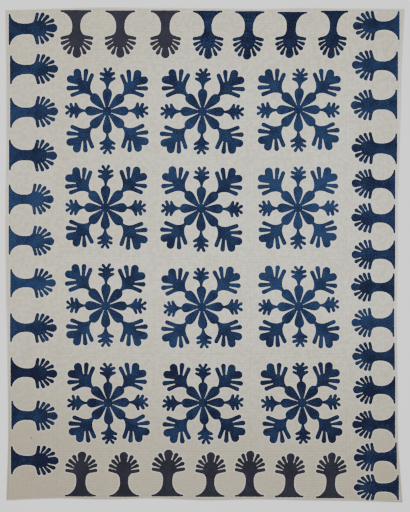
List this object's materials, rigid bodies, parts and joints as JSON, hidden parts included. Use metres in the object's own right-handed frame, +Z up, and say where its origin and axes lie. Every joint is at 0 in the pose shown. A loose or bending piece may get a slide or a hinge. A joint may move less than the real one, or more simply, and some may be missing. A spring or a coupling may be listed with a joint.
{
  "type": "applique quilt",
  "caption": "Flat quilted bed cover of white cotton with indigo oak leaf blocks, a border of trees and a narrow folded binding",
  "frame": {"origin": "under the middle of the quilt's outline, on the surface it lies on", "axes": "+X across the quilt to the right as seen face on, +Y along its length to the head, +Z up out of its face"},
  "size_m": [2.126, 2.636, 0.0053],
  "materials": {
    "cotton_ground": "matt, fine plain weave, quilted, aged to cream",
    "cotton_binding": "matt plain cotton",
    "indigo_print": "matt cotton with a fine light print",
    "faded_print": "matt cotton, indigo faded to grey violet"
  },
  "bodies": {
    "root": {"quilt_body": "cotton_ground", "binding_head": "cotton_binding", "binding_foot": "cotton_binding", "binding_left": "cotton_binding", "binding_right": "cotton_binding", "oak_block_r1c1": "indigo_print", "oak_block_r1c2": "indigo_print", "oak_block_r1c3": "indigo_print", "oak_block_r2c1": "indigo_print", "oak_block_r2c2": "indigo_print", "oak_block_r2c3": "indigo_print", "oak_block_r3c1": "indigo_print", "oak_block_r3c2": "indigo_print", "oak_block_r3c3": "indigo_print", "oak_block_r4c1": "indigo_print", "oak_block_r4c2": "indigo_print", "oak_block_r4c3": "indigo_print", "tree_left_01": "indigo_print", "tree_left_02": "indigo_print", "tree_left_03": "indigo_print", "tree_left_04": "indigo_print", "tree_left_05": "indigo_print", "tree_left_06": "indigo_print", "tree_left_07": "indigo_print", "tree_left_08": "indigo_print", "tree_left_09": "indigo_print", "tree_left_10": "indigo_print", "tree_left_11": "indigo_print", "tree_right_01": "indigo_print", "tree_right_02": "indigo_print", "tree_right_03": "indigo_print", "tree_right_04": "indigo_print", "tree_right_05": "indigo_print", "tree_right_06": "indigo_print", "tree_right_07": "indigo_print", "tree_right_08": "indigo_print", "tree_right_09": "indigo_print", "tree_right_10": "indigo_print", "tree_right_11": "indigo_print", "tree_right_12": "indigo_print", "tree_right_13": "indigo_print", "tree_right_14": "indigo_print", "tree_head_01": "faded_print", "tree_head_02": "faded_print", "tree_head_03": "faded_print", "tree_head_04": "indigo_print", "tree_head_05": "indigo_print", "tree_head_06": "indigo_print", "tree_head_07": "indigo_print", "tree_foot_01": "faded_print", "tree_foot_02": "faded_print", "tree_foot_03": "faded_print", "tree_foot_04": "faded_print", "tree_foot_05": "faded_print", "tree_foot_06": "faded_print", "tree_foot_07": "faded_print"}
  },
  "joints": []
}
